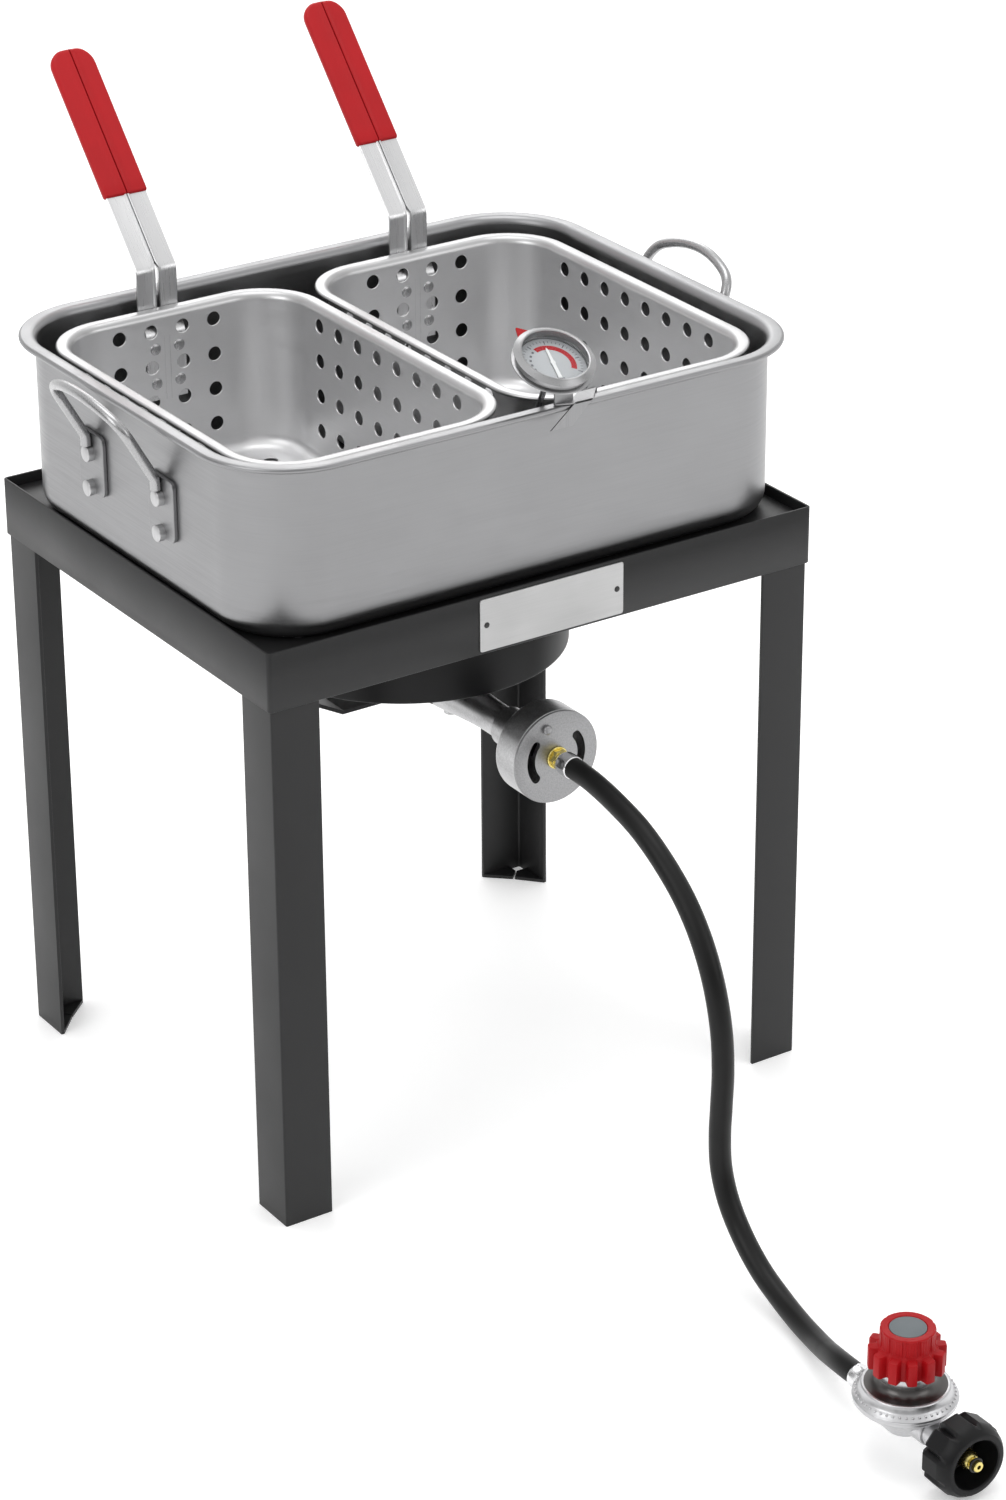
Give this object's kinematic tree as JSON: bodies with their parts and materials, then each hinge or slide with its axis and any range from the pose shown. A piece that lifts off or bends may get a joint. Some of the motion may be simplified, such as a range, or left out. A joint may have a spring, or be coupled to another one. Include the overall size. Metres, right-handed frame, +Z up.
{
  "type": "outdoor propane fryer with two baskets",
  "caption": "Rectangular aluminium deep-fryer pan with perforated lift-out baskets on a four-legged propane burner stand, with hose, adjustable regulator and clip-on thermometer.",
  "frame": {"origin": "on the ground under the middle of the object's box, measured without the gas line", "axes": "+Z up, -Y to the front where the burner's air shutter and hose are, +X to the right seen from the front"},
  "size_m": [0.4856, 0.9186, 0.668],
  "materials": {
    "band_paint": "satin dark grey paint",
    "leg_paint": "satin dark grey paint",
    "guard_paint": "satin black paint",
    "label_metal": "brushed",
    "burner_iron": "rough casting",
    "cast_aluminium": "sand-cast, satin",
    "pan_aluminium": "fine brushed",
    "basket_aluminium": "fine brushed",
    "bright_steel": "polished",
    "strip_steel": "brushed",
    "grip_red": "dipped vinyl, satin",
    "knob_red": "moulded",
    "insert_grey": "matte",
    "zinc": "die-cast, satin chrome",
    "brass_fitting": "machined",
    "hose_rubber": "satin",
    "nut_plastic": "moulded, fine texture",
    "seal_rubber": "matte",
    "spring_wire": "drawn wire",
    "lens_glass": "clear",
    "dial_paint": "printed card",
    "needle_paint": "painted"
  },
  "bodies": {
    "stand": {"top_band": "band_paint", "pan_ledge": "band_paint", "leg_front_left": "leg_paint", "leg_front_right": "leg_paint", "leg_back_left": "leg_paint", "leg_back_right": "leg_paint", "name_plate": "label_metal", "name_plate_rivets": "strip_steel", "support_bar_front": "band_paint", "support_bar_back": "band_paint", "wind_guard": "guard_paint", "burner_bracket": "guard_paint", "bracket_rivets": "strip_steel", "burner_head": "burner_iron", "burner_cap": "burner_iron", "burner_bolt": "strip_steel", "burner_nut": "strip_steel", "venturi_tube": "cast_aluminium", "mixer_housing": "cast_aluminium", "orifice_fitting": "brass_fitting", "orifice_nut": "brass_fitting", "ferrule_burner_end": "bright_steel", "hose": "hose_rubber", "ferrule_regulator_end": "bright_steel", "regulator_outlet": "zinc", "regulator_body": "zinc", "regulator_diaphragm": "seal_rubber", "regulator_bonnet": "zinc", "regulator_spring": "spring_wire", "inlet_stem": "zinc", "inlet_nipple": "brass_fitting", "inlet_seal": "seal_rubber"},
    "shutter": {"air_shutter": "cast_aluminium", "shutter_knob": "bright_steel"},
    "screw": {"adjusting_screw": "spring_wire"},
    "knob": {"regulator_knob": "knob_red", "knob_insert": "insert_grey"},
    "tank_nut": {"tank_nut": "nut_plastic"},
    "pan": {"pan": "pan_aluminium", "pan_handle_left": "bright_steel", "pan_handle_right": "bright_steel", "pan_rivets": "bright_steel"},
    "basket_left": {"basket_left": "basket_aluminium", "basket_handle_left": "strip_steel", "basket_grip_left": "grip_red", "basket_rivets_left": "bright_steel"},
    "basket_right": {"basket_right": "basket_aluminium", "basket_handle_right": "strip_steel", "basket_grip_right": "grip_red", "basket_rivets_right": "bright_steel"},
    "clip": {"thermometer_clip": "strip_steel"},
    "thermometer": {"thermometer_stem": "bright_steel", "thermometer_case": "bright_steel", "thermometer_bezel": "bright_steel", "thermometer_dial": "dial_paint", "thermometer_lens": "lens_glass"},
    "needle": {"thermometer_needle": "needle_paint", "thermometer_spindle": "brass_fitting"},
    "marker": {"thermometer_marker": "knob_red"}
  },
  "joints": [
    {"name": "pan_lift", "type": "slide", "parent": "stand", "child": "pan", "axis": [0, 0, 1], "range_m": [0, 0.15]},
    {"name": "basket_left_lift", "type": "slide", "parent": "pan", "child": "basket_left", "axis": [0, 0, 1], "range_m": [0, 0.2]},
    {"name": "basket_right_lift", "type": "slide", "parent": "pan", "child": "basket_right", "axis": [0, 0, 1], "range_m": [0, 0.2]},
    {"name": "clip_lift", "type": "slide", "parent": "pan", "child": "clip", "axis": [0, 0, 1], "range_m": [0, 0.06]},
    {"name": "stem_slide", "type": "slide", "parent": "clip", "child": "thermometer", "axis": [0, -0.4226, 0.9063], "range_m": [0, 0.05]},
    {"name": "needle_swing", "type": "hinge", "parent": "thermometer", "child": "needle", "pos_m": [0.004, -0.20583, 0.562], "axis": [0, -0.4226, 0.9063], "range_deg": [-135, 135]},
    {"name": "marker_turn", "type": "hinge", "parent": "thermometer", "child": "marker", "pos_m": [0.004, -0.20583, 0.562], "axis": [0, -0.4226, 0.9063], "range_deg": [-150, 150]},
    {"name": "shutter_turn", "type": "hinge", "parent": "stand", "child": "shutter", "pos_m": [0, -0.21233, 0.288], "axis": [0, -1, 0], "range_deg": [0, 90]},
    {"name": "screw_feed", "type": "slide", "parent": "stand", "child": "screw", "axis": [0, 0, 1], "range_m": [-0.00125, 0.00063], "deforming": ["regulator_spring"]},
    {"name": "knob_turn", "type": "hinge", "parent": "screw", "child": "knob", "pos_m": [-0.027, -0.62133, 0.06], "axis": [0, 0, 1], "range_deg": [-360, 180]},
    {"name": "tank_nut_turn", "type": "hinge", "parent": "stand", "child": "tank_nut", "pos_m": [-0.027, -0.67233, 0.0255], "axis": [0, -1, 0], "continuous": true}
  ],
  "couplings": [
    {"joint": "knob_turn", "follows": "screw_feed", "rad_per_m": 5026.5}
  ]
}
